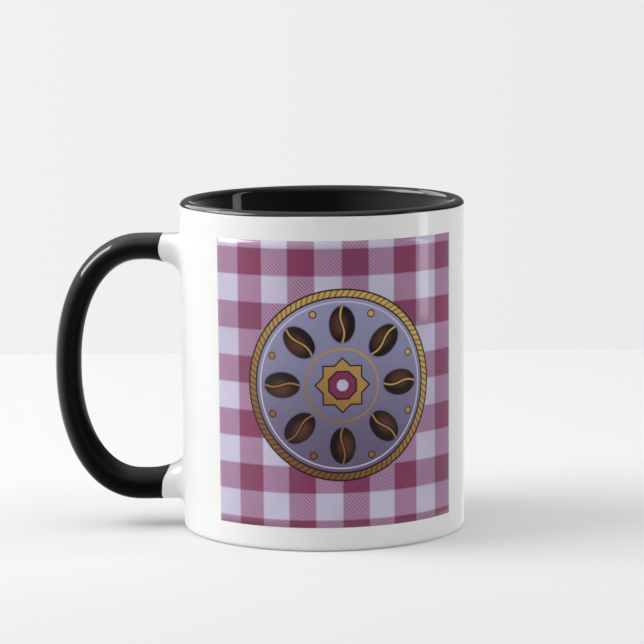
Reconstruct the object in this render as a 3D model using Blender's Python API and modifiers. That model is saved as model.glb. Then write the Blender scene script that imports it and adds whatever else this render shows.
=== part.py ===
"""A straight ceramic mug with an open C-shaped handle, cast in one piece.

Metres, +Z up. The mug stands on the plane z = 0 and its handle points to -X.
The origin is the bottom centre of the overall box, handle included, so the
axis of the turned body stands a little way along +X.
"""

import math
from typing import NamedTuple

import bmesh
import bpy
from mathutils import Matrix, Vector

# Body, in metres
HEIGHT = 0.0950
RIM_RADIUS = 0.0410
BASE_RADIUS = 0.04075
LIP_THICKNESS = 0.0038
WALL_THICKNESS_LOW = 0.0046
FLOOR_HEIGHT = 0.0062
FLOOR_CORNER = 0.0075

# Foot: a flat ring round a shallow recess
FOOT_EDGE = 0.0014
FOOT_RING_INNER = 0.0352
FOOT_RING_SLOPE = 0.0010
RECESS_DEPTH = 0.0016

# Handle centreline, as distance from the body's axis (reach) and height
HANDLE_REACH = 0.07364
HANDLE_MIDDLE = 0.04666
HANDLE_TOP = 0.08156
HANDLE_BOTTOM = 0.01220
ARC_START_TOP = 0.0517
ARC_START_BOTTOM = 0.0524
ARC_POWER = 2.18

# Handle section, as half thickness in the handle's plane and half width across it
HALF_THICK_TOP = 0.00374
HALF_THICK_SIDE = 0.00360
HALF_THICK_BOTTOM = 0.00429
HALF_WIDTH = 0.0070
SECTION_POWER = 2.6

# How far each side of the handle runs along it, and spreads, as it meets the body
INNER_FLARE = (0.0100, 0.0050)
OUTER_FLARE_TOP = (0.0010, 0.0010)
OUTER_FLARE_BOTTOM = (0.0017, 0.0019)
FLANK_FLARE = (0.0040, 0.0025)
ROOT_DEPTH = 0.0021

# Black glaze: over the lip, all over the inside and along the handle
LIP_GLAZE_DROP = 0.0011
HANDLE_GLAZE_START = 0.0462

# Fineness of the solid
TURN_STEPS = 96
LIP_STEPS = 8
CORNER_STEPS = 5
FOOT_STEPS = 4
QUARTER_STEPS = 14
ROOT_STEPS = 8
SECTION_SIDES = 20
SMOOTH_ANGLE = math.radians(35.0)
MERGE_DISTANCE = 0.00001

# The overall box reaches from the handle's outside to the far side of the rim
BODY_X = (HANDLE_REACH + HALF_THICK_SIDE - RIM_RADIUS) / 2.0


class Station(NamedTuple):
    """One oval of the handle: a point on its path, how far it sits above that, and its half sizes."""

    path: Vector
    lift: float
    half_thick: float
    half_width: float


def clear_scene():
    for thing in list(bpy.context.scene.objects):
        bpy.data.objects.remove(thing, do_unlink=True)


def new_collection(name):
    collection = bpy.data.collections.new(name)
    bpy.context.scene.collection.children.link(collection)
    return collection


def glaze(name, colour, roughness):
    material = bpy.data.materials.new(name)
    material.use_nodes = True
    shader = material.node_tree.nodes["Principled BSDF"]
    shader.inputs["Base Color"].default_value = (*colour, 1.0)
    shader.inputs["Roughness"].default_value = roughness
    shader.inputs["Metallic"].default_value = 0.0
    material.diffuse_color = (*colour, 1.0)
    return material


def arc(centre, radius, start, end, steps):
    """Points on a round corner, from one angle to another in degrees."""
    points = []
    for step in range(steps + 1):
        angle = math.radians(start + (end - start) * step / steps)
        points.append((centre[0] + radius * math.cos(angle), centre[1] + radius * math.sin(angle)))
    return points


def body_profile():
    """Radius and height, from the middle of the floor over the lip to the middle of the underside."""
    lip = LIP_THICKNESS / 2.0
    inner_low = BASE_RADIUS - WALL_THICKNESS_LOW
    floor_corner = (inner_low - FLOOR_CORNER, FLOOR_HEIGHT + FLOOR_CORNER)
    points = [(0.0, FLOOR_HEIGHT)]
    points += arc(floor_corner, FLOOR_CORNER, -90.0, 0.0, CORNER_STEPS)
    points += arc((RIM_RADIUS - lip, HEIGHT - lip), lip, 180.0, 0.0, LIP_STEPS)
    points += arc((BASE_RADIUS - FOOT_EDGE, FOOT_EDGE), FOOT_EDGE, 0.0, -90.0, FOOT_STEPS)
    points.append((FOOT_RING_INNER, 0.0))
    points.append((FOOT_RING_INNER - FOOT_RING_SLOPE, RECESS_DEPTH))
    points.append((0.0, RECESS_DEPTH))
    return points


def turned_body():
    """The cup without its handle: the profile, turned round the body's axis."""
    mesh = bpy.data.meshes.new("cup")
    points = [Vector((radius, 0.0, height)) for radius, height in body_profile()]
    mesh.from_pydata(points, [(i, i + 1) for i in range(len(points) - 1)], [])
    cup = bpy.data.objects.new("cup", mesh)
    cup.location = (BODY_X, 0.0, 0.0)
    turn = cup.modifiers.new("turn", "SCREW")
    turn.axis = "Z"
    turn.steps = TURN_STEPS
    turn.render_steps = TURN_STEPS
    turn.use_merge_vertices = True
    turn.merge_threshold = MERGE_DISTANCE
    return cup


def wall_reach(height, aside):
    """How far out the body's wall stands at this height, and this far to the side of the handle's plane."""
    radius = BASE_RADIUS + (RIM_RADIUS - BASE_RADIUS) * height / HEIGHT
    return math.sqrt(radius * radius - aside * aside)


def spread(reach, wall, flare):
    """How far one side of the handle has spread at this reach: a quarter ellipse that ends at the wall."""
    run, rise = flare
    inward = min(1.0, max(0.0, (wall + run - reach) / run))
    return rise * (1.0 - math.sqrt(1.0 - inward * inward))


def root_station(reach, is_top):
    """The oval where the handle runs into the body, wider on every side the nearer it is."""
    height = HANDLE_TOP if is_top else HANDLE_BOTTOM
    half_thick = HALF_THICK_TOP if is_top else HALF_THICK_BOTTOM
    wall = wall_reach(height, 0.0)
    outer = spread(reach, wall, OUTER_FLARE_TOP if is_top else OUTER_FLARE_BOTTOM)
    inner = spread(reach, wall, INNER_FLARE)
    lift = (outer - inner) / 2.0 if is_top else (inner - outer) / 2.0
    flank_wall = wall_reach(height, HALF_WIDTH + FLANK_FLARE[1])
    half_width = HALF_WIDTH + spread(reach, flank_wall, FLANK_FLARE)
    return Station(Vector((-reach, 0.0, height)), lift, half_thick + (outer + inner) / 2.0, half_width)


def root_stations(is_top):
    """Ovals from inside the wall out to where the flare begins, closer together near the wall."""
    height = HANDLE_TOP if is_top else HANDLE_BOTTOM
    wall = wall_reach(height, 0.0)
    reaches = [wall - ROOT_DEPTH, wall_reach(height, HALF_WIDTH + FLANK_FLARE[1])]
    for step in range(ROOT_STEPS):
        angle = math.pi / 2.0 * (1.0 - step / ROOT_STEPS)
        reaches.append(wall + INNER_FLARE[0] * (1.0 - math.sin(angle)))
    return [root_station(reach, is_top) for reach in reaches]


def arc_station(angle, is_top):
    """The oval on one quarter of the C, by angle from the level of its middle."""
    start = ARC_START_TOP if is_top else ARC_START_BOTTOM
    end_height = HANDLE_TOP if is_top else HANDLE_BOTTOM
    end_thick = HALF_THICK_TOP if is_top else HALF_THICK_BOTTOM
    across = math.cos(angle) ** (2.0 / ARC_POWER)
    along = math.sin(angle) ** (2.0 / ARC_POWER)
    reach = start + (HANDLE_REACH - start) * across
    height = HANDLE_MIDDLE + (end_height - HANDLE_MIDDLE) * along
    half_thick = HALF_THICK_SIDE + (end_thick - HALF_THICK_SIDE) * along ** 3
    return Station(Vector((-reach, 0.0, height)), 0.0, half_thick, HALF_WIDTH)


def handle_stations():
    """Ovals along the whole handle, from the wall at the top round to the wall at the bottom."""
    angles = [math.pi / 2.0 * step / QUARTER_STEPS for step in range(QUARTER_STEPS + 1)]
    upper = [arc_station(angle, True) for angle in reversed(angles)]
    lower = [arc_station(angle, False) for angle in angles[1:]]
    return root_stations(True) + upper + lower + root_stations(False)[::-1]


def squared(share):
    """A coordinate on the unit circle, moved out so that the oval has flatter sides and rounder flanks."""
    return math.copysign(abs(share) ** (2.0 / SECTION_POWER), share)


def section_matrix(station, direction):
    """Places a unit oval as the station's own, square to the handle's run."""
    across = Vector((0.0, 1.0, 0.0))
    outward = direction.cross(across).normalized()
    turn = Matrix((outward, across, direction)).transposed().to_4x4()
    size = Matrix.Diagonal((station.half_thick, station.half_width, 1.0, 1.0))
    place = Vector((BODY_X, 0.0, station.lift)) + station.path
    return Matrix.Translation(place) @ turn @ size


def lofted_handle():
    """The C of the handle: ovals of changing size, bridged one to the next."""
    stations = handle_stations()
    last = len(stations) - 1
    loft = bmesh.new()
    previous = None
    for index, station in enumerate(stations):
        run = stations[min(index + 1, last)].path - stations[max(index - 1, 0)].path
        matrix = section_matrix(station, run.normalized())
        made = bmesh.ops.create_circle(
            loft, cap_ends=index in (0, last), segments=SECTION_SIDES, radius=1.0)
        ring = set(made["verts"])
        for vert in ring:
            vert.co = matrix @ Vector((squared(vert.co.x), squared(vert.co.y), 0.0))
        edges = [edge for vert in ring for edge in vert.link_edges if edge.other_vert(vert) in ring]
        ring_edges = list(dict.fromkeys(edges))
        if previous:
            bmesh.ops.bridge_loops(loft, edges=previous + ring_edges)
        previous = ring_edges
    bmesh.ops.recalc_face_normals(loft, faces=loft.faces)
    mesh = bpy.data.meshes.new("handle")
    loft.to_mesh(mesh)
    loft.free()
    return bpy.data.objects.new("handle", mesh)


def is_black(centre):
    """Whether a face whose centre is here, in metres, is under black glaze."""
    from_axis = math.hypot(centre.x - BODY_X, centre.y)
    on_handle = BODY_X - centre.x > HANDLE_GLAZE_START
    over_lip = centre.z > HEIGHT - LIP_GLAZE_DROP
    wall_middle = RIM_RADIUS - LIP_THICKNESS / 2.0
    inside = centre.z > FLOOR_HEIGHT - MERGE_DISTANCE and from_axis < wall_middle
    return on_handle or over_lip or inside


def join(cup, handle, name):
    """One solid of the cup and the handle, with its own mesh and no modifiers."""
    union = cup.modifiers.new("handle", "BOOLEAN")
    union.operation = "UNION"
    union.object = handle
    depsgraph = bpy.context.evaluated_depsgraph_get()
    mesh = bpy.data.meshes.new_from_object(cup.evaluated_get(depsgraph))
    mesh.name = name
    mesh.transform(cup.matrix_world)
    mesh.materials.clear()
    return bpy.data.objects.new(name, mesh)


def main():
    clear_scene()
    white = glaze("white_glaze", (0.90, 0.90, 0.89), 0.10)
    black = glaze("black_glaze", (0.006, 0.006, 0.006), 0.08)
    parts = new_collection("mug")
    workshop = new_collection("joined")
    cup = turned_body()
    handle = lofted_handle()
    for piece in (cup, handle):
        workshop.objects.link(piece)
    bpy.context.view_layer.update()
    mug = join(cup, handle, "mug")
    parts.objects.link(mug)
    for piece in (cup, handle):
        bpy.data.objects.remove(piece, do_unlink=True)
    bpy.data.collections.remove(workshop)
    mug.data.materials.append(white)
    mug.data.materials.append(black)
    for face in mug.data.polygons:
        face.material_index = 1 if is_black(face.center) else 0
    mug.data.shade_smooth()
    mug.data.set_sharp_from_angle(angle=SMOOTH_ANGLE)


main()
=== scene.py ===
"""Looks of a glazed ceramic mug: white outside, black inside and on its handle, with a printed panel.

Everything is in metres and radians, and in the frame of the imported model. The cup is turned round an
upright axis, its handle points to -X, and the printed panel faces -Y, where the camera stands.
"""

import logging
import math
from collections.abc import Callable, Mapping, Sequence
from dataclasses import dataclass, replace
from enum import Enum
from functools import partial
from typing import NamedTuple

import bmesh
import bpy
from mathutils import Matrix, Vector


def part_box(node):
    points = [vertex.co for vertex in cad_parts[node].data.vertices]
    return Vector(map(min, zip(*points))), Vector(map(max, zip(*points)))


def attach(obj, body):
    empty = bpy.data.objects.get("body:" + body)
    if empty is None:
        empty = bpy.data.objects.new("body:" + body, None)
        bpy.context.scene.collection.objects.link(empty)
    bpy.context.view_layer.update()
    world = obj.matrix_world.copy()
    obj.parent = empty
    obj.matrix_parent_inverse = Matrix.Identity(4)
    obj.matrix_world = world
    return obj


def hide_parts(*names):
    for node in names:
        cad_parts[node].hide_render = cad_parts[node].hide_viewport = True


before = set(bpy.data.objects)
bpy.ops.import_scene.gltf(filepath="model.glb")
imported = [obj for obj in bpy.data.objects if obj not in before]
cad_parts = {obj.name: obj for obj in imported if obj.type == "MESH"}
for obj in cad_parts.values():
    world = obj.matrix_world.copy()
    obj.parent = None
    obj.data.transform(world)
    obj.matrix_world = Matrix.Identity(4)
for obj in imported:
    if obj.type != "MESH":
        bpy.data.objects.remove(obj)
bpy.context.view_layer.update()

LOG = logging.getLogger("mug")

# The photograph's frame, in pixels
IMAGE_SIDE = 644.0

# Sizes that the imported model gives
LOW_CORNER, HIGH_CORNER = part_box("mug")
HEIGHT = HIGH_CORNER.z
RIM_RADIUS = HIGH_CORNER.y
AXIS_X = HIGH_CORNER.x - RIM_RADIUS

# How square the handle's oval section is, where 2 is an ellipse
SECTION_POWER = 2.6

# Fineness of the meshes
TURN_STEPS = 256
WINDOW_STEPS = 11
WINDOW_ROWS = 18
SECTION_SIDES = 2 * (2 * WINDOW_STEPS + WINDOW_ROWS)
QUARTER_STEPS = 30
ROOT_LEVELS = 18
MERGE_DISTANCE = 0.000002

# The casting lies this far under the model's own surface, which the glaze layers reach
SKIN = 0.00005

# How deep the glaze layers are
GLAZE_DEPTH = 0.00025

# The waves that a hand-dipped glaze line wanders in: how many once round, how strong, how far shifted
WAVES = ((3.0, 0.6, 1.0), (7.0, 0.4, 2.3))

# The printed panel's own map, and the attribute that says how squarely the handle's glaze faces the cup
PANEL_MAP = "OFBake"
FACES_CUP = "faces_cup"

QUARTER_TURN = math.pi / 2.0
MILLIMETRES = 1000.0

Point = tuple[float, float]
Point3 = tuple[float, float, float]
Colour = tuple[float, float, float, float]

# A ring of the handle, which gives a point from its turn round the section
Ring = Callable[[float], Vector]


class Slot(Enum):
    """The record's material slots."""

    WHITE_GLAZE = "white_glaze"
    BLACK_GLAZE = "black_glaze"
    PRINTED_PANEL = "printed_panel"
    BARE_FOOT = "bare_foot"


def squared(share: float) -> float:
    """A coordinate on the unit circle, moved out so that the oval has flatter sides and rounder flanks."""
    return math.copysign(abs(share) ** (2.0 / SECTION_POWER), share)


def smooth_step(low: float, high: float, value: float) -> float:
    """How far a value has come from low to high, easing in and out."""
    share = min(1.0, max(0.0, (value - low) / (high - low)))
    return share * share * (3.0 - 2.0 * share)


def blend(first: float, last: float, share: float) -> float:
    """The number that lies this share of the way from first to last."""
    return first + (last - first) * share


def arc(centre: Point, radius: float, start: float, end: float, steps: int) -> list[Point]:
    """Points on a round corner of a profile.

    Args:
        centre: The corner's centre, as radius and height.
        radius: The corner's own radius.
        start: Angle of the first point, from outwards towards up.
        end: Angle of the last point.
        steps: How many equal steps lead from start to end.

    Returns:
        The points, both ends included.
    """
    angles = [blend(start, end, step / steps) for step in range(steps + 1)]
    return [(centre[0] + radius * math.cos(a), centre[1] + radius * math.sin(a)) for a in angles]


def straight(first: Point, last: Point, steps: int) -> list[Point]:
    """The points that divide a straight run of a profile, without its two ends."""
    shares = [step / steps for step in range(1, steps)]
    return [(blend(first[0], last[0], s), blend(first[1], last[1], s)) for s in shares]


def waver(angle: float, size: float, phase: float) -> float:
    """A gentle wandering of a hand-dipped glaze line, once round an angle."""
    return size * sum(share * math.sin(count * angle + shift * phase) for count, share, shift in WAVES)


def spun(profile: Sequence[Point]) -> bmesh.types.BMesh:
    """Turns a profile of radii and heights once round the cup's axis.

    Args:
        profile: Radius and height of each point, in order.

    Returns:
        A closed ring of faces, with its seam and poles merged.
    """
    mesh = bmesh.new()
    verts = [mesh.verts.new((AXIS_X + radius, 0.0, height)) for radius, height in profile]
    edges = [mesh.edges.new(pair) for pair in zip(verts, verts[1:])]
    bmesh.ops.spin(
        mesh, geom=verts + edges, cent=(AXIS_X, 0.0, 0.0), axis=(0.0, 0.0, 1.0),
        angle=math.tau, steps=TURN_STEPS, use_merge=True)
    bmesh.ops.remove_doubles(mesh, verts=mesh.verts, dist=MERGE_DISTANCE)
    bmesh.ops.recalc_face_normals(mesh, faces=mesh.faces)
    return mesh


def face_towards(mesh: bmesh.types.BMesh, place: Vector, way: Vector) -> None:
    """Turns an open sheet round if its face nearest to a place looks away from a direction.

    Args:
        mesh: The sheet, all of whose faces already look to one side of it.
        place: Where the side is known.
        way: The direction that the face there has to look in.
    """
    nearest = min(mesh.faces, key=lambda face: (face.calc_center_median() - place).length)
    if nearest.normal.dot(way) < 0.0:
        bmesh.ops.reverse_faces(mesh, faces=mesh.faces)


def grown(
    mesh: bmesh.types.BMesh,
    edges: list[bmesh.types.BMEdge],
    turn: bmesh.types.BMLayerItem,
    place: Ring,
) -> list[bmesh.types.BMEdge]:
    """Extrudes a loop of edges and puts the new loop in its place.

    Args:
        mesh: The mesh that the loop is in.
        edges: The loop's edges.
        turn: The layer that holds how far round the handle's section each vertex is.
        place: Gives a vertex's place from that turn.

    Returns:
        The new loop's edges.
    """
    made = bmesh.ops.extrude_edge_only(mesh, edges=edges)["geom"]
    for vert in made:
        if isinstance(vert, bmesh.types.BMVert):
            vert.co = place(vert[turn])
    return [item for item in made if isinstance(item, bmesh.types.BMEdge) and item.is_boundary]


def shown(name: str, mesh: bmesh.types.BMesh, material: bpy.types.Material) -> bpy.types.Object:
    """Puts a mesh in the scene, as an object that the glazes don't mirror.

    The mirrored room stands for all that their gloss shows.

    Args:
        name: The object's name.
        mesh: Its mesh, which is used up.
        material: Its finish.

    Returns:
        The object.
    """
    data = bpy.data.meshes.new(name)
    mesh.to_mesh(data)
    mesh.free()
    data.materials.append(material)
    made = bpy.data.objects.new(name, data)
    made.visible_glossy = False
    bpy.context.scene.collection.objects.link(made)
    return made


def finished(
    name: str,
    mesh: bmesh.types.BMesh,
    material: bpy.types.Material,
    slot: Slot,
    depth: float = 0.0,
) -> bpy.types.Object:
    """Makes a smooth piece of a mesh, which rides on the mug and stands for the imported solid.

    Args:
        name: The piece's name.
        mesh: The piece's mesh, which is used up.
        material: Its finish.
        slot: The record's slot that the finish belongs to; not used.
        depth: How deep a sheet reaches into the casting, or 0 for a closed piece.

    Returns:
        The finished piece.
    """
    piece = shown(name, mesh, material)
    piece.data.shade_smooth()
    if depth:
        layer = piece.modifiers.new("depth", "SOLIDIFY")
        layer.thickness = depth
        layer.offset = -1.0
        layer.use_rim = True
    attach(piece, "root")
    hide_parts("mug")
    LOG.info("%s: %d faces", name, len(piece.data.polygons))
    return piece


@dataclass(frozen=True)
class Window:
    """The stretch of the outer wall that is left open for one root of the handle."""

    low: float
    high: float

    @property
    def middle(self) -> float:
        """The window's middle height."""
        return (self.low + self.high) / 2.0

    def holds(self, height: float) -> bool:
        """Whether a height is in the window or on its edge."""
        return self.low - MERGE_DISTANCE < height < self.high + MERGE_DISTANCE


UPPER_WINDOW = Window(low=0.0710, high=0.0880)
LOWER_WINDOW = Window(low=0.0040, high=0.0235)


@dataclass(frozen=True)
class RoundEdge:
    """A round edge of the turned cup: its centre, as radius and height, and its own radius."""

    centre: Point
    radius: float

    def wander(
        self, mesh: bmesh.types.BMesh, still: float, line: float, size: float, phase: float,
    ) -> None:
        """Lets the line in which a turned sheet ends wander along the edge.

        Args:
            mesh: The sheet, from which the vertices between the two angles are moved.
            still: The angle at which nothing moves, from outwards towards up.
            line: The angle at which the sheet ends, where the vertices move most.
            size: How far they move there, as an angle.
            phase: Where the wandering starts round the cup.
        """
        rounding = 0.001
        for vert in mesh.verts:
            out, aside = vert.co.x - AXIS_X, vert.co.y
            bearing = math.atan2(aside, out)
            angle = math.atan2(vert.co.z - self.centre[1], math.hypot(out, aside) - self.centre[0])
            share = (angle - still) / (line - still)
            if 0.0 < share < 1.0 + rounding:
                angle += waver(bearing, size, phase) * share ** 2
                distance = self.centre[0] + self.radius * math.cos(angle)
                vert.co = Vector((
                    AXIS_X + distance * math.cos(bearing), distance * math.sin(bearing),
                    self.centre[1] + self.radius * math.sin(angle)))


@dataclass(frozen=True)
class Cup:
    """The turned cup: its sizes, and its profile with the steps that it is drawn in."""

    base_radius: float = 0.04075
    lip_thickness: float = 0.0038
    low_wall_thickness: float = 0.0046
    floor_height: float = 0.0062
    floor_corner: float = 0.0075
    foot_edge: float = 0.0014
    foot_ring_inner: float = 0.0352
    foot_ring_slope: float = 0.0010
    recess_depth: float = 0.0016
    floor_steps: int = 6
    corner_steps: int = 14
    inner_wall_steps: int = 16
    lip_steps: int = 24
    outer_wall_steps: tuple[int, ...] = (4, WINDOW_ROWS, 26, WINDOW_ROWS, 3)
    foot_steps: int = 10
    ring_steps: int = 3

    @property
    def lip(self) -> RoundEdge:
        """The lip's round edge."""
        radius = self.lip_thickness / 2.0
        return RoundEdge((RIM_RADIUS - radius, HEIGHT - radius), radius)

    @property
    def foot(self) -> RoundEdge:
        """The foot's round edge."""
        return RoundEdge((self.base_radius - self.foot_edge, self.foot_edge), self.foot_edge)

    def wall_radius(self, height: float, inset: float = 0.0) -> float:
        """How far the outer wall stands from the axis at a height."""
        share = (height - self.foot_edge) / (self.lip.centre[1] - self.foot_edge)
        return blend(self.base_radius, RIM_RADIUS, share) - inset

    def inside(self, inset: float) -> list[Point]:
        """The profile from the middle of the cup's floor up to the lip, without the lip.

        Args:
            inset: How far under the model's surface.

        Returns:
            The profile's points, as radius and height.
        """
        inner_low = self.base_radius - self.low_wall_thickness
        corner = (inner_low - self.floor_corner, self.floor_height + self.floor_corner)
        floor = self.floor_height - inset
        points = [(0.0, floor)]
        points += straight((0.0, floor), (corner[0], floor), self.floor_steps)
        points += arc(corner, self.floor_corner + inset, -QUARTER_TURN, 0.0, self.corner_steps)
        lip_start = (self.lip.centre[0] - self.lip.radius + inset, self.lip.centre[1])
        points += straight((inner_low + inset, corner[1]), lip_start, self.inner_wall_steps)
        return points

    def outside(self, inset: float) -> list[Point]:
        """The outer wall from below the lip to above the foot, with a row at each window's edges.

        Args:
            inset: How far under the model's surface.

        Returns:
            The profile's points, as radius and height.
        """
        edges = (
            self.lip.centre[1], UPPER_WINDOW.high, UPPER_WINDOW.low,
            LOWER_WINDOW.high, LOWER_WINDOW.low, self.foot_edge)
        heights = [
            blend(top, bottom, row / count)
            for top, bottom, count in zip(edges, edges[1:], self.outer_wall_steps)
            for row in range(count)]
        return [(self.wall_radius(height, inset), height) for height in heights[1:]]

    def underside(self, inset: float) -> list[Point]:
        """The profile from the foot's round edge to the middle of the underside.

        Args:
            inset: How far under the model's surface.

        Returns:
            The profile's points, as radius and height.
        """
        slope_foot = (self.foot_ring_inner, inset)
        slope_top = (self.foot_ring_inner - self.foot_ring_slope, self.recess_depth + inset)
        middle = (0.0, slope_top[1])
        points = arc(self.foot.centre, self.foot_edge - inset, 0.0, -QUARTER_TURN, self.foot_steps)
        points += straight(points[-1], slope_foot, self.ring_steps)
        points += [slope_foot]
        points += straight(slope_foot, slope_top, self.ring_steps)
        points += [slope_top]
        points += straight(slope_top, middle, self.floor_steps)
        return points + [middle]

    def profile(self, inset: float) -> list[Point]:
        """The whole profile, from the middle of the floor over the lip to the middle of the underside."""
        lip = arc(self.lip.centre, self.lip.radius - inset, math.pi, 0.0, self.lip_steps)
        return self.inside(inset) + lip + self.outside(inset) + self.underside(inset)


class Flare(NamedTuple):
    """How far one side of the handle runs along it, and spreads, as it meets the body."""

    run: float
    rise: float

    def spread(self, level: float) -> float:
        """The spread at a height above the wall: a quarter ellipse that ends square to the wall."""
        inward = min(1.0, max(0.0, 1.0 - level / self.run))
        return self.rise * (1.0 - math.sqrt(1.0 - inward * inward))


class GlazeLine(NamedTuple):
    """Where the black glaze begins on one root of the handle, as a distance from the cup's axis."""

    middle: float
    tilt: float
    bulge: float
    phase: float
    wander: float = 0.00012

    def reach(self, turn: float) -> float:
        """The distance at a turn round the section: least at the edges, and bulging at the flanks."""
        line = self.middle + self.tilt * math.cos(turn) + self.bulge * math.sin(turn) ** 2
        return line + waver(turn, self.wander, self.phase)


@dataclass(frozen=True)
class Root:
    """One end of the handle, where it grows out of the wall.

    A turn of 0 round the section looks out of the C, a quarter turn looks along +Y, and half a turn
    looks into the C. way_out is 1 where out of the C is up, and -1 where it is down.
    """

    height: float
    half_thick: float
    arc_start: float
    way_out: float
    outer: Flare
    window: Window
    glaze_line: GlazeLine


UPPER_ROOT = Root(
    height=0.08156, half_thick=0.00374, arc_start=0.0517, way_out=1.0,
    outer=Flare(run=0.0010, rise=0.0010), window=UPPER_WINDOW,
    glaze_line=GlazeLine(middle=0.04565, tilt=0.00025, bulge=0.00125, phase=8.156))
LOWER_ROOT = Root(
    height=0.01220, half_thick=0.00429, arc_start=0.0524, way_out=-1.0,
    outer=Flare(run=0.0017, rise=0.0019), window=LOWER_WINDOW,
    glaze_line=GlazeLine(middle=0.04570, tilt=0.00080, bulge=0.00110, phase=1.220))


@dataclass(frozen=True)
class Handle:
    """The open C: its sizes, and the place of any point on its surface."""

    cup: Cup
    reach: float = 0.07364
    middle: float = 0.04666
    arc_power: float = 2.18
    half_thick: float = 0.00360
    half_width: float = 0.0070
    inner: Flare = Flare(run=0.0100, rise=0.0050)
    flank: Flare = Flare(run=0.0040, rise=0.0025)
    nudge: float = math.radians(0.5)
    search_rounds: int = 3

    def levels(self) -> list[float]:
        """Heights above the wall for the root's rings, closest together where the flare is steepest."""
        angles = [QUARTER_TURN * step / ROOT_LEVELS for step in range(ROOT_LEVELS + 1)]
        return [self.inner.run * (1.0 - math.cos(angle)) for angle in angles]

    def root_point(self, root: Root, turn: float, level: float, inset: float) -> Vector:
        """A point on one root of the handle.

        Args:
            root: Which end of the handle.
            turn: How far round the section.
            level: Height above the wall.
            inset: How far under the model's surface.

        Returns:
            The point.
        """
        outer = root.outer.spread(level)
        inner = self.inner.spread(level)
        half_thick = root.half_thick - inset + (outer + inner) / 2.0
        aside = (self.half_width - inset + self.flank.spread(level)) * squared(math.sin(turn))
        rise = (outer - inner) / 2.0 + half_thick * squared(math.cos(turn))
        height = root.height + root.way_out * rise
        wall = self.cup.wall_radius(height, inset)
        bend = wall - math.sqrt(wall * wall - aside * aside)
        flat = smooth_step(self.flank.run, self.inner.run, level)
        return Vector((AXIS_X - wall - level + bend * (1.0 - flat), aside, height))

    def level_at(self, root: Root, turn: float, reach: float) -> float:
        """Finds the height above the wall at which a root's surface is this far from the axis.

        Args:
            root: Which end of the handle.
            turn: How far round the section.
            reach: The distance from the cup's axis.

        Returns:
            The height above the wall, each round of the search nearer to the true one.
        """
        level = reach - self.cup.wall_radius(root.height)
        for _ in range(self.search_rounds):
            point = self.root_point(root, turn, level, 0.0)
            level += reach - (AXIS_X - point.x)
        return level

    def path(self, root: Root, angle: float) -> Vector:
        """The middle of the handle on one quarter of the C.

        Args:
            root: The end that the quarter leads to.
            angle: How far along the quarter, from the level of the handle's middle.

        Returns:
            The point.
        """
        across = math.cos(angle) ** (2.0 / self.arc_power)
        along = math.sin(angle) ** (2.0 / self.arc_power)
        reach = blend(root.arc_start, self.reach, across)
        return Vector((AXIS_X - reach, 0.0, blend(self.middle, root.height, along)))

    def arc_point(self, root: Root, angle: float, turn: float, inset: float) -> Vector:
        """A point on the surface of one quarter of the C.

        Args:
            root: The end that the quarter leads to.
            angle: How far along the quarter, from the level of the handle's middle.
            turn: How far round the section.
            inset: How far under the model's surface.

        Returns:
            The point.
        """
        near = min(QUARTER_TURN - self.nudge, max(self.nudge, angle))
        run = self.path(root, near + self.nudge) - self.path(root, near - self.nudge)
        along = math.sin(angle) ** (2.0 / self.arc_power)
        if angle <= 0.0:
            run = Vector((0.0, 0.0, root.way_out))
        outward = Vector((-abs(run.z), 0.0, root.way_out * abs(run.x))).normalized()
        half_thick = blend(self.half_thick, root.half_thick, along ** 3) - inset
        aside = Vector((0.0, (self.half_width - inset) * squared(math.sin(turn)), 0.0))
        return self.path(root, angle) + outward * (half_thick * squared(math.cos(turn))) + aside

    def rings(self, inset: float) -> list[Ring]:
        """The rings of the C from the end of its upper root to the end of its lower root.

        Args:
            inset: How far under the model's surface.

        Returns:
            The rings, each of which gives a point from its turn.
        """
        angles = [QUARTER_TURN * step / QUARTER_STEPS for step in range(QUARTER_STEPS + 1)]
        stations = [(UPPER_ROOT, angle) for angle in reversed(angles)]
        stations += [(LOWER_ROOT, angle) for angle in angles[1:]]
        return [partial(self.arc_point, root, angle, inset=inset) for root, angle in stations]

    def root_rings(self, root: Root, inset: float) -> list[Ring]:
        """The rings of one root, from the wall outwards."""
        return [partial(self.root_point, root, level=level, inset=inset) for level in self.levels()]


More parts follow.
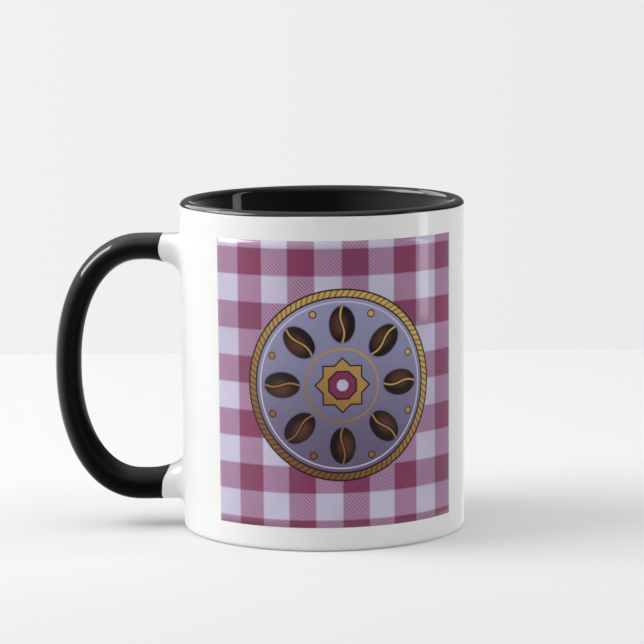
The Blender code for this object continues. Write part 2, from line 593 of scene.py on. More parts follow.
@dataclass(frozen=True)
class Casting:
    """The white ceramic body and handle, one closed skin with smooth fillets."""

    cup: Cup
    handle: Handle

    def build(self, material: bpy.types.Material) -> bpy.types.Object:
        """Spins the cup, opens its wall at both roots and grows the handle from one to the other.

        Args:
            material: The white glaze.

        Returns:
            The finished piece.
        """
        mesh = spun(self.cup.profile(SKIN))
        turn = mesh.verts.layers.float.new("turn")
        for root in (UPPER_ROOT, LOWER_ROOT):
            self.open_window(mesh, root.window)
        upper = self.grow_root(mesh, turn, UPPER_ROOT)
        lower = self.grow_root(mesh, turn, LOWER_ROOT)
        for place in self.handle.rings(SKIN):
            upper = grown(mesh, upper, turn, place)
        bmesh.ops.bridge_loops(mesh, edges=upper + lower)
        bmesh.ops.recalc_face_normals(mesh, faces=mesh.faces)
        mesh.verts.layers.float.remove(turn)
        return finished("mug_body", mesh, material, Slot.WHITE_GLAZE)

    def open_window(self, mesh: bmesh.types.BMesh, window: Window) -> None:
        """Takes the faces of the outer wall away where a root of the handle will stand.

        Args:
            mesh: The spun cup.
            window: The stretch to open.
        """
        wall = self.cup.wall_radius(window.middle) - self.cup.lip.radius
        half_angle = math.tau * WINDOW_STEPS / TURN_STEPS
        inside = []
        for face in mesh.faces:
            centre = face.calc_center_median()
            out, aside = AXIS_X - centre.x, centre.y
            behind_root = abs(math.atan2(aside, out)) < half_angle
            if window.holds(centre.z) and behind_root and math.hypot(out, aside) > wall:
                inside.append(face)
        bmesh.ops.delete(mesh, geom=inside, context="FACES")

    def grow_root(
        self, mesh: bmesh.types.BMesh, turn: bmesh.types.BMLayerItem, root: Root,
    ) -> list[bmesh.types.BMEdge]:
        """Numbers the window's edge round the handle's section and grows the root from it.

        Args:
            mesh: The casting so far.
            turn: The layer that holds each vertex's turn round the section.
            root: Which end of the handle.

        Returns:
            The root's last loop of edges.
        """
        window = root.window
        half_step = math.pi / SECTION_SIDES
        loop = [
            edge for edge in mesh.edges
            if edge.is_boundary and all(window.holds(vert.co.z) for vert in edge.verts)]

        def bearing(vert: bmesh.types.BMVert) -> float:
            """The vertex's direction from the window's middle, from out of the C towards +Y."""
            rise = (vert.co.z - window.middle) * root.way_out
            return (math.atan2(vert.co.y, rise) + half_step / 2.0) % math.tau

        corners = dict.fromkeys(vert for edge in loop for vert in edge.verts)
        for index, vert in enumerate(sorted(corners, key=bearing)):
            vert[turn] = math.tau * index / SECTION_SIDES
        for place in self.handle.root_rings(root, SKIN):
            loop = grown(mesh, loop, turn, place)
        return loop


@dataclass(frozen=True)
class InsideGlaze:
    """The black glaze all over the inside, over the lip and a little way down the outside."""

    cup: Cup
    drop: float = 0.00125
    wander: float = 0.00020
    phase: float = math.radians(330.0)
    lip_steps: int = 26

    def build(self, material: bpy.types.Material) -> bpy.types.Object:
        """Spins the sheet, lets its outer edge wander along the lip and gives it its depth.

        Args:
            material: The black glaze of the inside.

        Returns:
            The finished piece.
        """
        lip = self.cup.lip
        line = math.asin((lip.radius - self.drop) / lip.radius)
        over_lip = arc(lip.centre, lip.radius, math.pi, line, self.lip_steps)
        mesh = spun(self.cup.inside(0.0) + over_lip)
        lip.wander(mesh, QUARTER_TURN, line, self.wander / lip.radius, self.phase)
        face_towards(mesh, Vector((AXIS_X, 0.0, 0.0)), Vector((0.0, 0.0, 1.0)))
        return finished("inside_glaze", mesh, material, Slot.BLACK_GLAZE, GLAZE_DEPTH)


@dataclass(frozen=True)
class HandleGlaze:
    """The black glaze along the handle, which ends in a bulging line at each white root."""

    handle: Handle
    edge_rings: int = 8

    def build(self, material: bpy.types.Material) -> bpy.types.Object:
        """Draws a sleeve along the handle, from one glaze line to the other.

        Args:
            material: The black glaze.

        Returns:
            The finished piece, which also knows how squarely it faces the cup, from -1 to 1.
        """
        mesh = bmesh.new()
        turn = mesh.verts.layers.float.new("turn")
        bmesh.ops.create_circle(mesh, segments=SECTION_SIDES, radius=1.0)
        loop = list(mesh.edges)
        first, *rings = self.edge(UPPER_ROOT)
        for vert in mesh.verts:
            vert[turn] = math.atan2(vert.co.x, vert.co.y) % math.tau
            vert.co = first(vert[turn])
        for place in rings + self.handle.rings(0.0) + self.edge(LOWER_ROOT)[::-1]:
            loop = grown(mesh, loop, turn, place)
        bmesh.ops.recalc_face_normals(mesh, faces=mesh.faces)
        mesh.verts.layers.float.remove(turn)
        outermost = Vector((LOW_CORNER.x, 0.0, self.handle.middle))
        face_towards(mesh, outermost, Vector((-1.0, 0.0, 0.0)))
        mesh.normal_update()
        inward = mesh.verts.layers.float.new(FACES_CUP)
        for vert in mesh.verts:
            vert[inward] = vert.normal.x
        return finished("handle_glaze", mesh, material, Slot.BLACK_GLAZE, GLAZE_DEPTH)

    def edge(self, root: Root) -> list[Ring]:
        """The rings from one glaze line to the end of that root.

        Args:
            root: Which end of the handle.

        Returns:
            The rings, each of which gives a point from its turn.
        """
        def place(turn: float, share: float) -> Vector:
            """A point between the glaze line and the end of the root."""
            line = self.handle.level_at(root, turn, root.glaze_line.reach(turn))
            return self.handle.root_point(root, turn, blend(line, self.handle.inner.run, share), 0.0)

        shares = [ring / self.edge_rings for ring in range(self.edge_rings + 1)]
        return [partial(place, share=share) for share in shares]


@dataclass(frozen=True)
class PrintedPanel:
    """The printed rectangle that wraps round the front of the cup."""

    cup: Cup
    left: float = math.radians(-45.7)
    right: float = math.radians(60.7)
    low: float = 0.0068
    high: float = 0.0871
    inset: float = 0.00001
    across: int = 110
    up: int = 40

    @property
    def middle(self) -> float:
        """The panel's middle height."""
        return (self.low + self.high) / 2.0

    @property
    def width(self) -> float:
        """The panel's width along the wall."""
        return self.cup.wall_radius(self.middle) * (self.right - self.left)

    @property
    def height(self) -> float:
        """The panel's height."""
        return self.high - self.low

    def build(self, material: bpy.types.Material) -> bpy.types.Object:
        """Wraps a flat grid round the wall and gives it a map of its own.

        Args:
            material: The print.

        Returns:
            The finished piece.
        """
        half = 0.5
        mesh = bmesh.new()
        bmesh.ops.create_grid(mesh, x_segments=self.across, y_segments=self.up, size=half)
        layout = mesh.loops.layers.uv.new(PANEL_MAP)
        for face in mesh.faces:
            for loop in face.loops:
                loop[layout].uv = (loop.vert.co.x + half, loop.vert.co.y + half)
        for vert in mesh.verts:
            bearing = blend(self.left, self.right, vert.co.x + half)
            height = blend(self.low, self.high, vert.co.y + half)
            radius = self.cup.wall_radius(height, self.inset)
            vert.co = Vector((AXIS_X + radius * math.sin(bearing), -radius * math.cos(bearing), height))
        mesh.normal_update()
        front = Vector((AXIS_X, -RIM_RADIUS, self.middle))
        face_towards(mesh, front, Vector((0.0, -1.0, 0.0)))
        return finished("printed_panel", mesh, material, Slot.PRINTED_PANEL, GLAZE_DEPTH)


@dataclass(frozen=True)
class FootRing:
    """The bare ceramic that the mug stands on, where no glaze may touch the kiln's shelf."""

    cup: Cup
    glaze_angle: float = math.radians(-66.0)
    slope_share: float = 0.55
    wander: float = math.radians(7.0)
    phase: float = 4.1
    edge_steps: int = 8
    flat_steps: int = 5
    slope_steps: int = 3

    def build(self, material: bpy.types.Material) -> bpy.types.Object:
        """Spins the ring's round edge, its flat and the start of its inner slope.

        Args:
            material: The bare ceramic.

        Returns:
            The finished piece, whose outer line isn't a perfect circle.
        """
        foot = self.cup.foot
        edge = arc(foot.centre, foot.radius, self.glaze_angle, -QUARTER_TURN, self.edge_steps)
        slope_foot = (self.cup.foot_ring_inner, 0.0)
        slope_top = (
            self.cup.foot_ring_inner - self.cup.foot_ring_slope * self.slope_share,
            self.cup.recess_depth * self.slope_share)
        flat = straight(edge[-1], slope_foot, self.flat_steps)
        slope = straight(slope_foot, slope_top, self.slope_steps)
        mesh = spun(edge + flat + [slope_foot] + slope + [slope_top])
        foot.wander(mesh, -QUARTER_TURN, self.glaze_angle, self.wander, self.phase)
        middle = (foot.centre[0] + self.cup.foot_ring_inner) / 2.0
        face_towards(mesh, Vector((AXIS_X + middle, 0.0, 0.0)), Vector((0.0, 0.0, -1.0)))
        return finished("foot_ring", mesh, material, Slot.BARE_FOOT, GLAZE_DEPTH)


# What a shader socket can be given
Input = "Value | float | Sequence[float]"


def maths(operation: str, last: bool = False) -> "Callable[..., Value]":
    """Makes a method of Value that adds one Math node.

    Args:
        operation: The node's operation.
        last: Whether the value itself comes last, as in a reflected operator.

    Returns:
        The method.
    """
    def method(self: "Value", *others: Input) -> "Value":
        """The value and the others, in their order, through the node."""
        inputs = (*others, self) if last else (self, *others)
        return self.graph.node("ShaderNodeMath", {"operation": operation}, dict(enumerate(inputs)))

    return method


class Value:
    """A shader socket that takes part in Python expressions."""

    def __init__(self, graph: "Graph", socket: bpy.types.NodeSocket | None) -> None:
        """Keeps the socket and the graph that its maths is added to."""
        self.graph = graph
        self.socket = socket

    __add__ = maths("ADD")
    __radd__ = maths("ADD", last=True)
    __sub__ = maths("SUBTRACT")
    __rsub__ = maths("SUBTRACT", last=True)
    __mul__ = maths("MULTIPLY")
    __rmul__ = maths("MULTIPLY", last=True)
    __truediv__ = maths("DIVIDE")
    __rtruediv__ = maths("DIVIDE", last=True)
    __abs__ = maths("ABSOLUTE")
    rounded = maths("ROUND")
    root = maths("SQRT")
    sine = maths("SINE")
    cosine = maths("COSINE")
    bearing = maths("ARCTAN2")
    most = maths("MAXIMUM")
    least = maths("MINIMUM")

    def step(self, low: float, high: float) -> "Value":
        """Eases from 0 at low to 1 at high, or the other way where low is above high."""
        return self.graph.node(
            "ShaderNodeMapRange", {"interpolation_type": "SMOOTHSTEP"},
            {"Value": self, "From Min": low, "From Max": high})

    def between(self, low: float, high: float) -> "Value":
        """Runs straight from low at 0 to high at 1."""
        return self.graph.node("ShaderNodeMapRange", None, {"Value": self, "To Min": low, "To Max": high})

    def mix(self, first: Input, second: Input) -> "Value":
        """A colour that goes from the first to the second as the value goes from 0 to 1."""
        settings = {"data_type": "RGBA", "clamp_factor": True}
        return self.graph.node("ShaderNodeMix", settings, {0: self, 6: first, 7: second}, 2)

    def noise(self, size: float, detail: float) -> "Value":
        """Soft noise at these coordinates, whose lumps are about this size in their units."""
        sockets = {"Vector": self, "Scale": 1.0 / size, "Detail": detail, "Roughness": 0.5}
        return self.graph.node("ShaderNodeTexNoise", None, sockets, "Fac")

    def bump(self, depth: float) -> "Value":
        """The normal of a surface that rises by this depth as the value goes from 0 to 1."""
        return self.graph.node("ShaderNodeBump", None, {"Strength": 1.0, "Distance": depth, "Height": self})

    def parts(self) -> "tuple[Value, Value, Value]":
        """The X, Y and Z of a vector."""
        split = self.graph.node("ShaderNodeSeparateXYZ", None, {0: self}).socket.node
        return tuple(Value(self.graph, output) for output in split.outputs)


class Graph:
    """A node tree under construction."""

    def __init__(self, tree: bpy.types.NodeTree) -> None:
        """Empties the tree, ready for new nodes."""
        self.tree = tree
        tree.nodes.clear()

    def node(
        self,
        kind: str,
        settings: Mapping[str, object] | None = None,
        inputs: Mapping[str | int, Input] | None = None,
        output: str | int = 0,
    ) -> Value:
        """Adds one node.

        Args:
            kind: The node's type.
            settings: Its properties, which are set before its sockets.
            inputs: A number, a colour or another value for each named or numbered socket.
            output: Which of its outputs to give back.

        Returns:
            The output, ready for more maths.
        """
        made = self.tree.nodes.new(kind)
        for name, setting in (settings or {}).items():
            setattr(made, name, setting)
        for name, given in (inputs or {}).items():
            if isinstance(given, Value):
                self.tree.links.new(given.socket, made.inputs[name])
            else:
                made.inputs[name].default_value = given
        return Value(self, made.outputs[output] if len(made.outputs) else None)

    def place(self) -> Value:
        """The piece's own Object coordinates."""
        return self.node("ShaderNodeTexCoord", output="Object")

    def surface(self, sockets: Mapping[str, Input]) -> None:
        """Ends a material in one Principled shader, with these sockets."""
        shader = self.node("ShaderNodeBsdfPrincipled", None, sockets)
        self.node("ShaderNodeOutputMaterial", None, {"Surface": shader})


def new_finish(name: str) -> tuple[bpy.types.Material, Graph]:
    """Makes an empty material.

    Args:
        name: The material's name.

    Returns:
        The material, and the graph that its nodes are added to.
    """
    made = bpy.data.materials.new(name)
    made.use_nodes = True
    return made, Graph(made.node_tree)


def colour(red: float, green: float, blue: float) -> Colour:
    """Makes a colour for a shader socket.

    Args:
        red: How much red a screen shows, from 0 to 255.
        green: How much green.
        blue: How much blue.

    Returns:
        The same colour as the light that it stands for.
    """
    def linear(value: float) -> float:
        """One channel as light, by the screen's standard curve."""
        share = value / 255.0
        return share / 12.92 if share <= 0.04045 else ((share + 0.055) / 1.055) ** 2.4

    return (linear(red), linear(green), linear(blue), 1.0)


@dataclass(frozen=True)
class Glaze:
    """A fired glossy glaze: a body colour under a clear, slightly uneven coat.

    The coat goes from low_coat to coat between the two low_heights, and loses the share cup_shade_loss
    of its gloss where the handle turns to the cup, from the first of the inward values to the second.
    On the black handle, the weaker coat low down and the lost gloss towards the cup are painted
    shade: they dim the reflections that the handle's upper run and the cup would hide.
    The pairs cloud, chance and speck_edge are the values between which their masks rise.
    """

    name: str
    tint: Colour
    drift: Colour
    speck: Colour
    roughness: Point
    specular: float
    ripple: float
    coat_roughness: float = 0.05
    coat: float = 1.0
    low_coat: float = 1.0
    low_heights: Point = (0.0, 0.001)
    cup_shade_loss: float = 0.0
    inward: Point = (0.20, 0.85)
    refraction: float = 1.5
    ripple_size: float = 0.0042
    swell_size: float = 0.016
    swell: float = 1.6
    gloss_size: float = 0.007
    cloud_size: float = 0.018
    cloud: Point = (0.35, 0.70)
    speck_spacing: float = 0.0055
    speck_edge: Point = (0.055, 0.025)
    speck_share: float = 0.5
    chance_size: float = 0.009
    chance: Point = (0.56, 0.62)

    def material(self) -> bpy.types.Material:
        """Makes the finish from the piece's own Object coordinates.

        Returns:
            The finish.
        """
        made, graph = new_finish(self.name)
        where = graph.place()
        self.dress(where, self.body_colour(where))
        return made

    def body_colour(self, where: Value) -> Value:
        """The glaze's colour: it drifts a little from place to place and holds a few tiny specks.

        Args:
            where: The coordinates that the colour follows.

        Returns:
            The colour.
        """
        cloud = where.noise(self.cloud_size, detail=3.0).step(*self.cloud)
        cells = {"Vector": where, "Scale": 1.0 / self.speck_spacing}
        spots = where.graph.node("ShaderNodeTexVoronoi", {"feature": "F1"}, cells, "Distance")
        chance = where.noise(self.chance_size, detail=0.0).step(*self.chance)
        mark = spots.step(*self.speck_edge) * chance * self.speck_share
        return mark.mix(cloud.mix(self.tint, self.drift), self.speck)

    def dress(self, where: Value, ground: Value) -> None:
        """Joins the colour, the gloss and the ripple of the surface in one shader.

        Args:
            where: The coordinates that the gloss and ripple follow.
            ground: The colour under the coat.
        """
        swell = where.noise(self.swell_size, detail=1.0) * self.swell
        ripple = where.noise(self.ripple_size, detail=1.0) + swell
        gloss = where.noise(self.gloss_size, detail=2.0).between(*self.roughness)
        where.graph.surface({
            "Base Color": ground, "Roughness": gloss, "IOR": self.refraction,
            "Specular IOR Level": self.specular, "Coat Weight": self.coat_weight(where),
            "Coat Roughness": self.coat_roughness, "Coat IOR": self.refraction,
            "Normal": ripple.bump(self.ripple),
        })

    def coat_weight(self, where: Value) -> Input:
        """How strong the coat is.

        Args:
            where: The coordinates that hold the height.

        Returns:
            The strength from place to place, or one number where it is the same all over.
        """
        if self.coat == self.low_coat:
            return self.coat
        coat = where.parts()[2].step(*self.low_heights).between(self.low_coat, self.coat)
        if not self.cup_shade_loss:
            return coat
        # Painted shade: the gloss fades where the handle faces the cup, for reflections that the cup would
        # hide
        facing = where.graph.node("ShaderNodeAttribute", {"attribute_name": FACES_CUP}, None, "Fac")
        return coat * (1.0 - facing.step(*self.inward) * self.cup_shade_loss)


WHITE_GLAZE = Glaze(
    name="white_glaze", tint=(0.86, 0.86, 0.85, 1.0), drift=(0.84, 0.843, 0.835, 1.0),
    speck=(0.45, 0.42, 0.38, 1.0), roughness=(0.38, 0.46), specular=0.10, ripple=0.000010)
# The handle's weaker coat low down and its lost gloss towards the cup are painted shade on its reflections
BLACK_GLAZE = Glaze(
    name="black_glaze", tint=(0.0020, 0.0020, 0.0022, 1.0), drift=(0.0032, 0.0030, 0.0029, 1.0),
    speck=(0.035, 0.033, 0.03, 1.0), roughness=(0.42, 0.50), specular=0.0, ripple=0.000012,
    coat=0.94, low_coat=0.40, low_heights=(0.012, 0.035), cup_shade_loss=0.80)
INSIDE_BLACK_GLAZE = replace(
    BLACK_GLAZE, name="black_glaze_inside", coat=0.68, low_coat=0.85, low_heights=(0.0915, 0.0935),
    cup_shade_loss=0.0)


@dataclass(frozen=True)
class BareCeramic:
    """Unglazed fired clay: matt, faintly warm, with a fine grain and grey rub marks."""

    name: str = "bare_foot"
    tint: Colour = colour(222, 216, 204)
    pale: Colour = colour(238, 234, 226)
    rubbed: Colour = colour(176, 170, 160)
    roughness: Point = (0.7, 0.9)
    grain_size: float = 0.0004
    grain_depth: float = 0.00003
    rub_size: float = 0.006
    rub: Point = (0.55, 0.75)
    rub_share: float = 0.5

    def material(self) -> bpy.types.Material:
        """Makes the finish from the piece's own Object coordinates.

        Returns:
            The finish.
        """
        made, graph = new_finish(self.name)
        where = graph.place()
        grain = where.noise(self.grain_size, detail=4.0)
        worn = where.noise(self.rub_size, detail=3.0).step(*self.rub) * self.rub_share
        graph.surface({
            "Base Color": worn.mix(grain.mix(self.tint, self.pale), self.rubbed),
            "Roughness": grain.between(*self.roughness), "Normal": grain.bump(self.grain_depth),
        })
        return made


@dataclass(frozen=True)
class Inks:
    """The print's colours."""

    lilac: Colour = colour(200, 194, 218)
    mauve: Colour = colour(160, 106, 142)
    raspberry: Colour = colour(132, 54, 90)
    lavender: Colour = colour(150, 150, 184)
    dusk: Colour = colour(104, 94, 122)
    coffee: Colour = colour(32, 21, 23)
    roast: Colour = colour(98, 60, 46)
    gold: Colour = colour(208, 170, 96)
    copper: Colour = colour(132, 86, 48)


INKS = Inks()

# How soft the print's outlines are, in millimetres
PRINT_EDGE = 0.12

# A layer of the print: the mask that is 1 where it lies, and its colour
Layer = tuple[Value, Input]


def within(distance: Value, radius: float) -> Value:
    """1 where a distance on the print is under a radius and 0 where it is over, with a crisp soft edge."""
    return distance.step(radius + PRINT_EDGE, radius - PRINT_EDGE)


def laid(ground: Value, layers: Sequence[Layer]) -> Value:
    """Lays layers over a ground.

    Args:
        ground: The colour so far.
        layers: The layers, the lowest first.

    Returns:
        The colour that shows.
    """
    for mask, ink in layers:
        ground = mask.mix(ground, ink)
    return ground


@dataclass(frozen=True)
class Spot:
    """A place on the print in millimetres from its middle, with its bearing and the gold's colour there."""

    x: Value
    y: Value
    distance: Value
    bearing: Value
    gold: Value

    def ring(self, radius: float, half_width: float) -> Value:
        """A thin circle round the middle, as 0 and 1."""
        return within(abs(self.distance - radius), half_width)

    def folded(self, sectors: int, shift: float) -> tuple[Value, Value]:
        """Folds the circle round the middle into equal sectors.

        Args:
            sectors: How many there are.
            shift: By what share of a sector their middles are turned.

        Returns:
            How far out the spot is along its sector's middle, and how far to the side of it.
        """
        sector = math.tau / sectors
        turn = self.bearing - ((self.bearing / sector - shift).rounded() + shift) * sector
        return self.distance * turn.cosine(), self.distance * turn.sine()


@dataclass(frozen=True)
class Gingham:
    """Woven checks, pale, half-toned and full, with a twill, and darker in soft patches."""

    check: float = 7.6
    check_edge: float = 0.12
    thread: float = 1.1
    thread_edge: float = 0.6
    half_twill: float = 0.35
    full_twill: float = 0.12
    shade_size: float = 22.0
    shade: Point = (0.35, 0.75)
    shade_share: float = 0.22

    def stripe(self, along: Value) -> Value:
        """Soft-edged stripes of one check's width, as 0 and 1."""
        return (along * (math.pi / self.check)).sine().step(-self.check_edge, self.check_edge)

    def cloth(self, spot: Spot) -> Value:
        """The cloth's colour.

        Args:
            spot: Where on the print.

        Returns:
            The colour.
        """
        across = self.stripe(spot.x)
        up = self.stripe(spot.y)
        both = across * up
        either = across + up - both
        thread = ((spot.x + spot.y) * (math.tau / self.thread)).sine()
        twill = thread.step(-self.thread_edge, self.thread_edge)
        half = (twill * self.half_twill).mix(INKS.mauve, INKS.lilac)
        full = (twill * self.full_twill).mix(INKS.raspberry, INKS.mauve)
        cloth = both.mix(either.mix(INKS.lilac, half), full)
        flat = spot.x.graph.node("ShaderNodeCombineXYZ", None, {0: spot.x, 1: spot.y})
        shade = flat.noise(self.shade_size, detail=2.0).step(*self.shade) * self.shade_share
        return shade.mix(cloth, INKS.dusk)


@dataclass(frozen=True)
class Medallion:
    """A round field that is darker at its foot, with a roped gold rim and two thin rings."""

    radius: float = 27.0
    keyline: float = 0.45
    rim_width: float = 1.7
    rope_turns: float = 96.0
    rope_twist: float = 2.4
    groove: Point = (-0.2, -0.9)
    groove_share: float = 0.65
    field_fall: float = 26.0
    outer_ring_gap: float = 1.5
    outer_ring_line: float = 0.2
    inner_ring: float = 10.2
    inner_ring_line: float = 0.28

    def layers(self, spot: Spot) -> list[Layer]:
        """The medallion at a place on the print.

        Args:
            spot: Where on the print.

        Returns:
            Its layers, the lowest first.
        """
        strand = (spot.bearing * self.rope_turns + spot.distance * self.rope_twist).sine()
        rope = (strand.step(*self.groove) * self.groove_share).mix(spot.gold, INKS.coffee)
        field_tone = spot.y.step(self.field_fall, -self.field_fall).mix(INKS.lavender, INKS.dusk)
        rim = self.radius - self.keyline
        floor = rim - self.rim_width
        return [
            (within(spot.distance, self.radius), INKS.coffee),
            (within(spot.distance, rim), rope),
            (within(spot.distance, floor), INKS.coffee),
            (within(spot.distance, floor - self.keyline), field_tone),
            (spot.ring(floor - self.outer_ring_gap, self.outer_ring_line), INKS.lilac),
            (spot.ring(self.inner_ring, self.inner_ring_line), spot.gold)]


@dataclass(frozen=True)
class Wreath:
    """A ring of coffee beans, each with a dark halo and a curved gold crease, and dots between them."""

    beans: int = 8
    radius: float = 17.0
    half_long: float = 5.1
    half_short: float = 3.6
    outline: Point = (1.03, 0.98)
    halo: Point = (1.12, 1.04)
    halo_share: float = 0.55
    sheen: Point = (0.85, 0.05)
    sheen_slant: float = 0.35
    crease: Point = (0.36, 0.16)
    crease_bend: float = 0.55
    furrow: Point = (0.85, 0.50)
    furrow_share: float = 0.8
    dots_radius: float = 21.4
    dot: float = 0.8
    dot_line: float = 0.3

    def layers(self, spot: Spot) -> list[Layer]:
        """The wreath at a place on the print.

        Args:
            spot: Where on the print.

        Returns:
            Its layers, the lowest first.
        """
        out, aside = spot.folded(self.beans, 0.0)
        along = out - self.radius
        reach = along / self.half_long
        across = aside / self.half_short
        inside = (reach * reach + across * across).root()
        sheen = (inside - across * self.sheen_slant).step(*self.sheen)
        crease = abs(aside - (along * (math.pi / self.half_long)).sine() * self.crease_bend)
        bean = laid(sheen.mix(INKS.coffee, INKS.roast), [
            (crease.step(*self.furrow) * self.furrow_share, INKS.coffee),
            (crease.step(*self.crease), spot.gold)])
        dot_out, dot_aside = spot.folded(self.beans, 0.5)
        beyond = dot_out - self.dots_radius
        dot = (beyond * beyond + dot_aside * dot_aside).root()
        return [
            (inside.step(*self.halo) * self.halo_share, INKS.dusk),
            (inside.step(*self.outline), bean),
            (within(dot, self.dot + self.dot_line), INKS.coffee),
            (within(dot, self.dot), spot.gold)]


@dataclass(frozen=True)
class Star:
    """An eight-pointed star, made of two squares, and in it an eight-sided heart with an eye.

    The sizes are half widths, and the heart's, its outline's and the eye's are shares of the star's.
    """

    size: float = 5.2
    line: float = 0.4
    heart_line: float = 0.78
    heart: float = 0.70
    eye: float = 0.3

    def layers(self, spot: Spot) -> list[Layer]:
        """The star at a place on the print.

        Args:
            spot: Where on the print.

        Returns:
            Its layers, the lowest first.
        """
        upright = abs(spot.x).most(abs(spot.y))
        slant = abs(spot.x + spot.y).most(abs(spot.x - spot.y)) * math.sqrt(0.5)
        star = upright.least(slant)
        heart = upright.most(slant)
        return [
            (within(star, self.size + self.line), INKS.coffee),
            (within(star, self.size), spot.gold),
            (within(heart, self.size * self.heart_line), INKS.coffee),
            (within(heart, self.size * self.heart), INKS.raspberry),
            (within(heart, self.size * self.eye), INKS.lilac)]


@dataclass(frozen=True)
class PanelPrint:
    """The print: a gingham ground, and on it a gold-edged medallion with coffee beans round a star.

    Its lengths and those of its motifs are in millimetres on the panel. The gold goes from copper at
    the lower left to gold at the upper right.
    """

    glaze: Glaze
    width: float
    height: float
    ground: Gingham = Gingham()
    motifs: tuple[Medallion | Wreath | Star, ...] = (Medallion(), Wreath(), Star())
    gold_slant: float = 0.6
    gold_reach: float = 30.0

    def material(self) -> bpy.types.Material:
        """Makes the print from the panel's own map, under the same coat as the white glaze.

        Returns:
            The finish.
        """
        made, graph = new_finish("printed_panel")
        u, v, _ = graph.node("ShaderNodeUVMap", {"uv_map": PANEL_MAP}).parts()
        x = (u - 0.5) * self.width
        y = (v - 0.5) * self.height
        gold = (y + x * self.gold_slant).step(-self.gold_reach, self.gold_reach)
        spot = Spot(x, y, (x * x + y * y).root(), y.bearing(x), gold.mix(INKS.copper, INKS.gold))
        shown_colour = self.ground.cloth(spot)
        for motif in self.motifs:
            shown_colour = laid(shown_colour, motif.layers(spot))
        self.glaze.dress(graph.place(), shown_colour)
        return made


@dataclass(frozen=True)
class Band:
    """How bright one band of the room is on each side of the mug, where 1 shows as white."""

    left: float
    back: float
    right: float
    front: float

    def tone(self, across: Value, depth: Value) -> Value:
        """The band's brightness in a level direction, blended between its four sides.

        Args:
            across: How far the direction points to the right, from -1 to 1.
            depth: How far it points to the back.

        Returns:
            The brightness.
        """
        left = (across * -1.0).most(0.0)
        right = across.most(0.0)
        back = depth.most(0.0)
        front = (depth * -1.0).most(0.0)
        return (
            left * left * self.left + right * right * self.right
            + back * back * self.back + front * front * self.front)


@dataclass(frozen=True)
class Room:
    """How bright the room is in each direction from the mug.

    Its bands lie just below the horizon, just above it and high up. Each pair of heights gives the
    rise, as the sine of the angle, between which one band passes into the next.
    """

    below: Band
    low: Band
    high: Band
    ceiling: float
    under: float
    sink: Point
    rise: Point
    top: Point
    horizon: Point = (-0.02, 0.02)
    least_level: float = 0.0001

    def tone(self, x: Value, y: Value, z: Value) -> Value:
        """The room's brightness in a direction from the mug.

        Args:
            x: How far the direction points to the right, from -1 to 1.
            y: How far it points to the back.
            z: How far it points up.

        Returns:
            The brightness.
        """
        level = (x * x + y * y).root().most(self.least_level)
        across = x / level
        depth = y / level
        sunk = z.step(*self.sink)
        above = z.step(*self.horizon)
        rise = z.step(*self.rise)
        top = z.step(*self.top)
        floor = self.below.tone(across, depth) * (1.0 - sunk) + sunk * self.under
        walls = self.low.tone(across, depth) * (1.0 - rise) + self.high.tone(across, depth) * rise
        return floor * (1.0 - above) + (walls * (1.0 - top) + top * self.ceiling) * above


# What lights the mug and the table: bright from high up, most of all on the left, and dimmer low down
LIT_ROOM = Room(
    below=Band(left=0.15, back=0.15, right=0.15, front=0.15),
    low=Band(left=0.48, back=0.62, right=0.05, front=0.0),
    high=Band(left=1.56, back=0.0, right=1.14, front=0.82),
    ceiling=0.90, under=0.15, sink=(-0.25, -0.55), rise=(0.35, 0.65), top=(0.75, 0.95))

# What the glazes mirror: bright on the left, pale high up and where the table lies behind, else dim
MIRRORED_ROOM = Room(
    below=Band(left=0.90, back=0.90, right=0.20, front=0.10),
    low=Band(left=0.90, back=0.24, right=0.15, front=0.15),
    high=Band(left=2.70, back=1.30, right=0.36, front=1.20),
    ceiling=1.20, under=0.28, sink=(-0.40, -0.95), rise=(0.05, 1.25), top=(0.80, 1.00))


class Use(Enum):
    """Whether a softbox lights the surfaces or is only what their gloss mirrors."""

    LIGHT = "light"
    MIRROR = "mirror"


@dataclass(frozen=True)
class Softbox:
    """One flat softbox that faces the mug, for every piece or only for those that it names."""

    name: str
    use: Use
    way: Point3
    size: Point
    radiance: float
    distance: float = 1.0
    pieces: tuple[str, ...] = ()

    def build(self) -> None:
        """Adds the light, which the camera never sees.

        One that only lights is left out of the rays that leave a surface, so that it can't stand
        before the one that is mirrored.
        """
        way = Vector(self.way).normalized()
        data = bpy.data.lights.new(self.name, "AREA")
        data.shape = "RECTANGLE"
        data.size, data.size_y = self.size
        data.energy = self.radiance * math.pi * self.size[0] * self.size[1]
        data.cycles.use_multiple_importance_sampling = self.use is Use.MIRROR
        light = bpy.data.objects.new(self.name, data)
        light.location = Vector((AXIS_X, 0.0, HEIGHT / 2.0)) + way * self.distance
        light.rotation_mode = "QUATERNION"
        light.rotation_quaternion = way.to_track_quat("Z", "Y")
        light.visible_camera = False
        light.visible_diffuse = self.use is Use.LIGHT
        light.visible_glossy = self.use is Use.MIRROR
        bpy.context.scene.collection.objects.link(light)
        if self.pieces:
            receivers = bpy.data.collections.new(self.name + "_pieces")
            for name in self.pieces:
                receivers.objects.link(bpy.data.objects[name])
            light.light_linking.receiver_collection = receivers


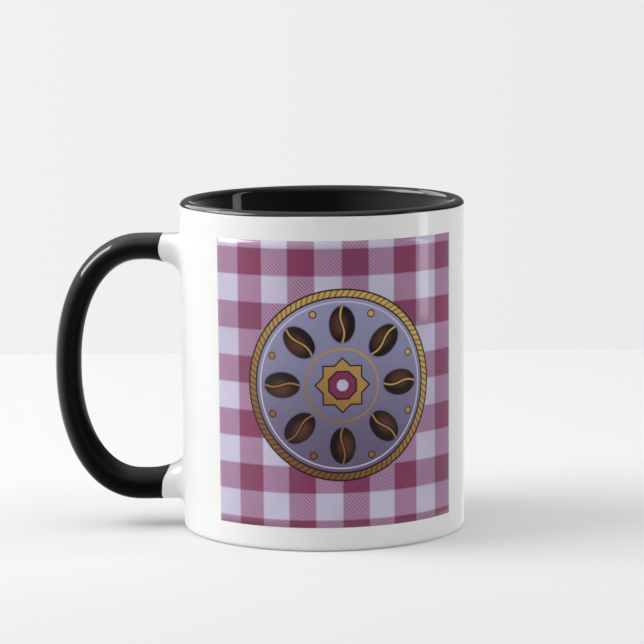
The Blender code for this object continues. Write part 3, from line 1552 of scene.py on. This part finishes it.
# The large key on the left and the narrow strip on the right, each as a light and as what is mirrored,
# and a dim panel at the back left that only the inside glaze mirrors, for the long highlight of its lip
SOFTBOXES = (
    Softbox("key", Use.LIGHT, way=(-0.763, -0.067, 0.643), size=(0.72, 0.72), radiance=4.22),
    Softbox("key_mirrored", Use.MIRROR, way=(-0.740, 0.08, 0.62), size=(0.60, 0.54), radiance=9.2),
    Softbox(
        "side_mirrored", Use.MIRROR, way=(-0.60, 0.62, 0.50), size=(0.70, 0.50), radiance=3.8,
        pieces=("inside_glaze",)),
    Softbox(
        "strip", Use.LIGHT, way=(0.46, -0.03, 0.16), size=(0.10, 0.50), radiance=3.9, distance=0.49),
    Softbox(
        "strip_mirrored", Use.MIRROR, way=(0.46, -0.03, 0.16), size=(0.09, 0.46), radiance=2.3,
        distance=0.49, pieces=("mug_body", "printed_panel", "inside_glaze")))


@dataclass(frozen=True)
class Studio:
    """The stage: a pale table top, soft studio light and the camera at the photograph's place.

    The table's tones are painted light falloff: they pass from the darker first to the second over
    the near depths, and to the paler third over the far ones.
    """

    camera_place: Point3 = (AXIS_X, -0.8779, 0.1820)
    pitch: float = math.radians(7.975)
    yaw: float = math.radians(-0.015)
    roll: float = -0.0081
    focal_pixels: float = 3067.0
    sensor: float = 36.0
    clip_start: float = 0.05
    table_back: float = 0.335
    table_front: float = -1.3
    table_left: float = -1.6
    table_right: float = 0.46
    table_gap: float = 0.00004
    near: Point = (-0.13, 0.02)
    far: Point = (0.10, 0.34)
    # Painted light falloff: the table is darker at the front and paler at the back
    table_falloff_tones: tuple[Colour, Colour, Colour] = (
        (0.735, 0.735, 0.725, 1.0), (0.820, 0.820, 0.810, 1.0), (0.865, 0.865, 0.855, 1.0))
    # Painted light: the wall that the camera sees fades from lighter on the left to darker on the right
    wall_reach: float = 0.16
    wall_falloff_tones: tuple[Colour, Colour] = (colour(241.5, 241.5, 241.5), colour(234, 234, 235))

    def build(self) -> None:
        """Sets the whole stage."""
        self.add_camera()
        self.add_table()
        self.add_surroundings()
        bpy.context.scene.view_settings.view_transform = "Standard"
        LOG.info("studio set")

    def add_camera(self) -> None:
        """Puts the camera where the photograph was taken from."""
        forward = Vector((
            math.sin(self.yaw) * math.cos(self.pitch),
            math.cos(self.yaw) * math.cos(self.pitch),
            -math.sin(self.pitch)))
        level = Vector((math.cos(self.yaw), -math.sin(self.yaw), 0.0))
        upright = level.cross(forward)
        right = level * math.cos(self.roll) + upright * math.sin(self.roll)
        up = right.cross(forward)
        data = bpy.data.cameras.new("camera")
        data.sensor_width = self.sensor
        data.lens = self.focal_pixels * self.sensor / IMAGE_SIDE
        data.clip_start = self.clip_start
        camera = bpy.data.objects.new("camera", data)
        basis = Matrix((right, up, -forward)).transposed().to_4x4()
        camera.matrix_world = Matrix.Translation(Vector(self.camera_place)) @ basis
        bpy.context.scene.collection.objects.link(camera)
        bpy.context.scene.camera = camera

    def add_table(self) -> None:
        """Lays the table top a hair below the mug's foot."""
        mesh = bmesh.new()
        bmesh.ops.create_grid(mesh, x_segments=1, y_segments=1, size=1.0)
        half_width = (self.table_right - self.table_left) / 2.0
        half_depth = (self.table_back - self.table_front) / 2.0
        middle = (self.table_left + half_width, self.table_front + half_depth, -self.table_gap)
        bmesh.ops.scale(mesh, vec=(half_width, half_depth, 1.0), verts=mesh.verts)
        bmesh.ops.translate(mesh, vec=middle, verts=mesh.verts)
        table = shown("table", mesh, self.table_material())

    def table_material(self) -> bpy.types.Material:
        """A plain pale matt surface, a little paler towards the back.

        Returns:
            The finish.
        """
        made, graph = new_finish("table")
        depth = graph.place().parts()[1]
        front, middle, back = self.table_falloff_tones
        # Painted light falloff: the table darkens towards the front and pales towards the back
        pale = depth.step(*self.far).mix(depth.step(*self.near).mix(front, middle), back)
        graph.surface({"Base Color": pale, "Roughness": 0.55, "Specular IOR Level": 0.3})
        return made

    def add_surroundings(self) -> None:
        """The room as light, the room as the glazes mirror it, and the plain wall that the camera sees."""
        world = bpy.data.worlds.new("room")
        world.use_nodes = True
        bpy.context.scene.world = world
        graph = Graph(world.node_tree)
        way = graph.node("ShaderNodeTexCoord", output="Generated").parts()
        seen = graph.node("ShaderNodeLightPath", output="Is Camera Ray")
        mirrored = graph.node("ShaderNodeLightPath", output="Is Glossy Ray")
        # Painted light: the wall is lighter on the left, where the key stands, and darker on the right
        wall = way[0].step(-self.wall_reach, self.wall_reach).mix(*self.wall_falloff_tones)
        room = mirrored.mix(LIT_ROOM.tone(*way), MIRRORED_ROOM.tone(*way))
        light = graph.node("ShaderNodeBackground", None, {"Color": seen.mix(room, wall), "Strength": 1.0})
        graph.node("ShaderNodeOutputWorld", None, {"Surface": light})


def main() -> None:
    """Builds the studio and every piece of the mug, in order."""
    logging.basicConfig(level=logging.INFO, format="%(name)s: %(message)s")
    Studio().build()
    cup = Cup()
    handle = Handle(cup)
    panel = PrintedPanel(cup)
    panel_print = PanelPrint(WHITE_GLAZE, panel.width * MILLIMETRES, panel.height * MILLIMETRES)
    Casting(cup, handle).build(WHITE_GLAZE.material())
    InsideGlaze(cup).build(INSIDE_BLACK_GLAZE.material())
    HandleGlaze(handle).build(BLACK_GLAZE.material())
    panel.build(panel_print.material())
    FootRing(cup).build(BareCeramic().material())
    for softbox in SOFTBOXES:
        softbox.build()


if __name__ == "__main__":
    main()
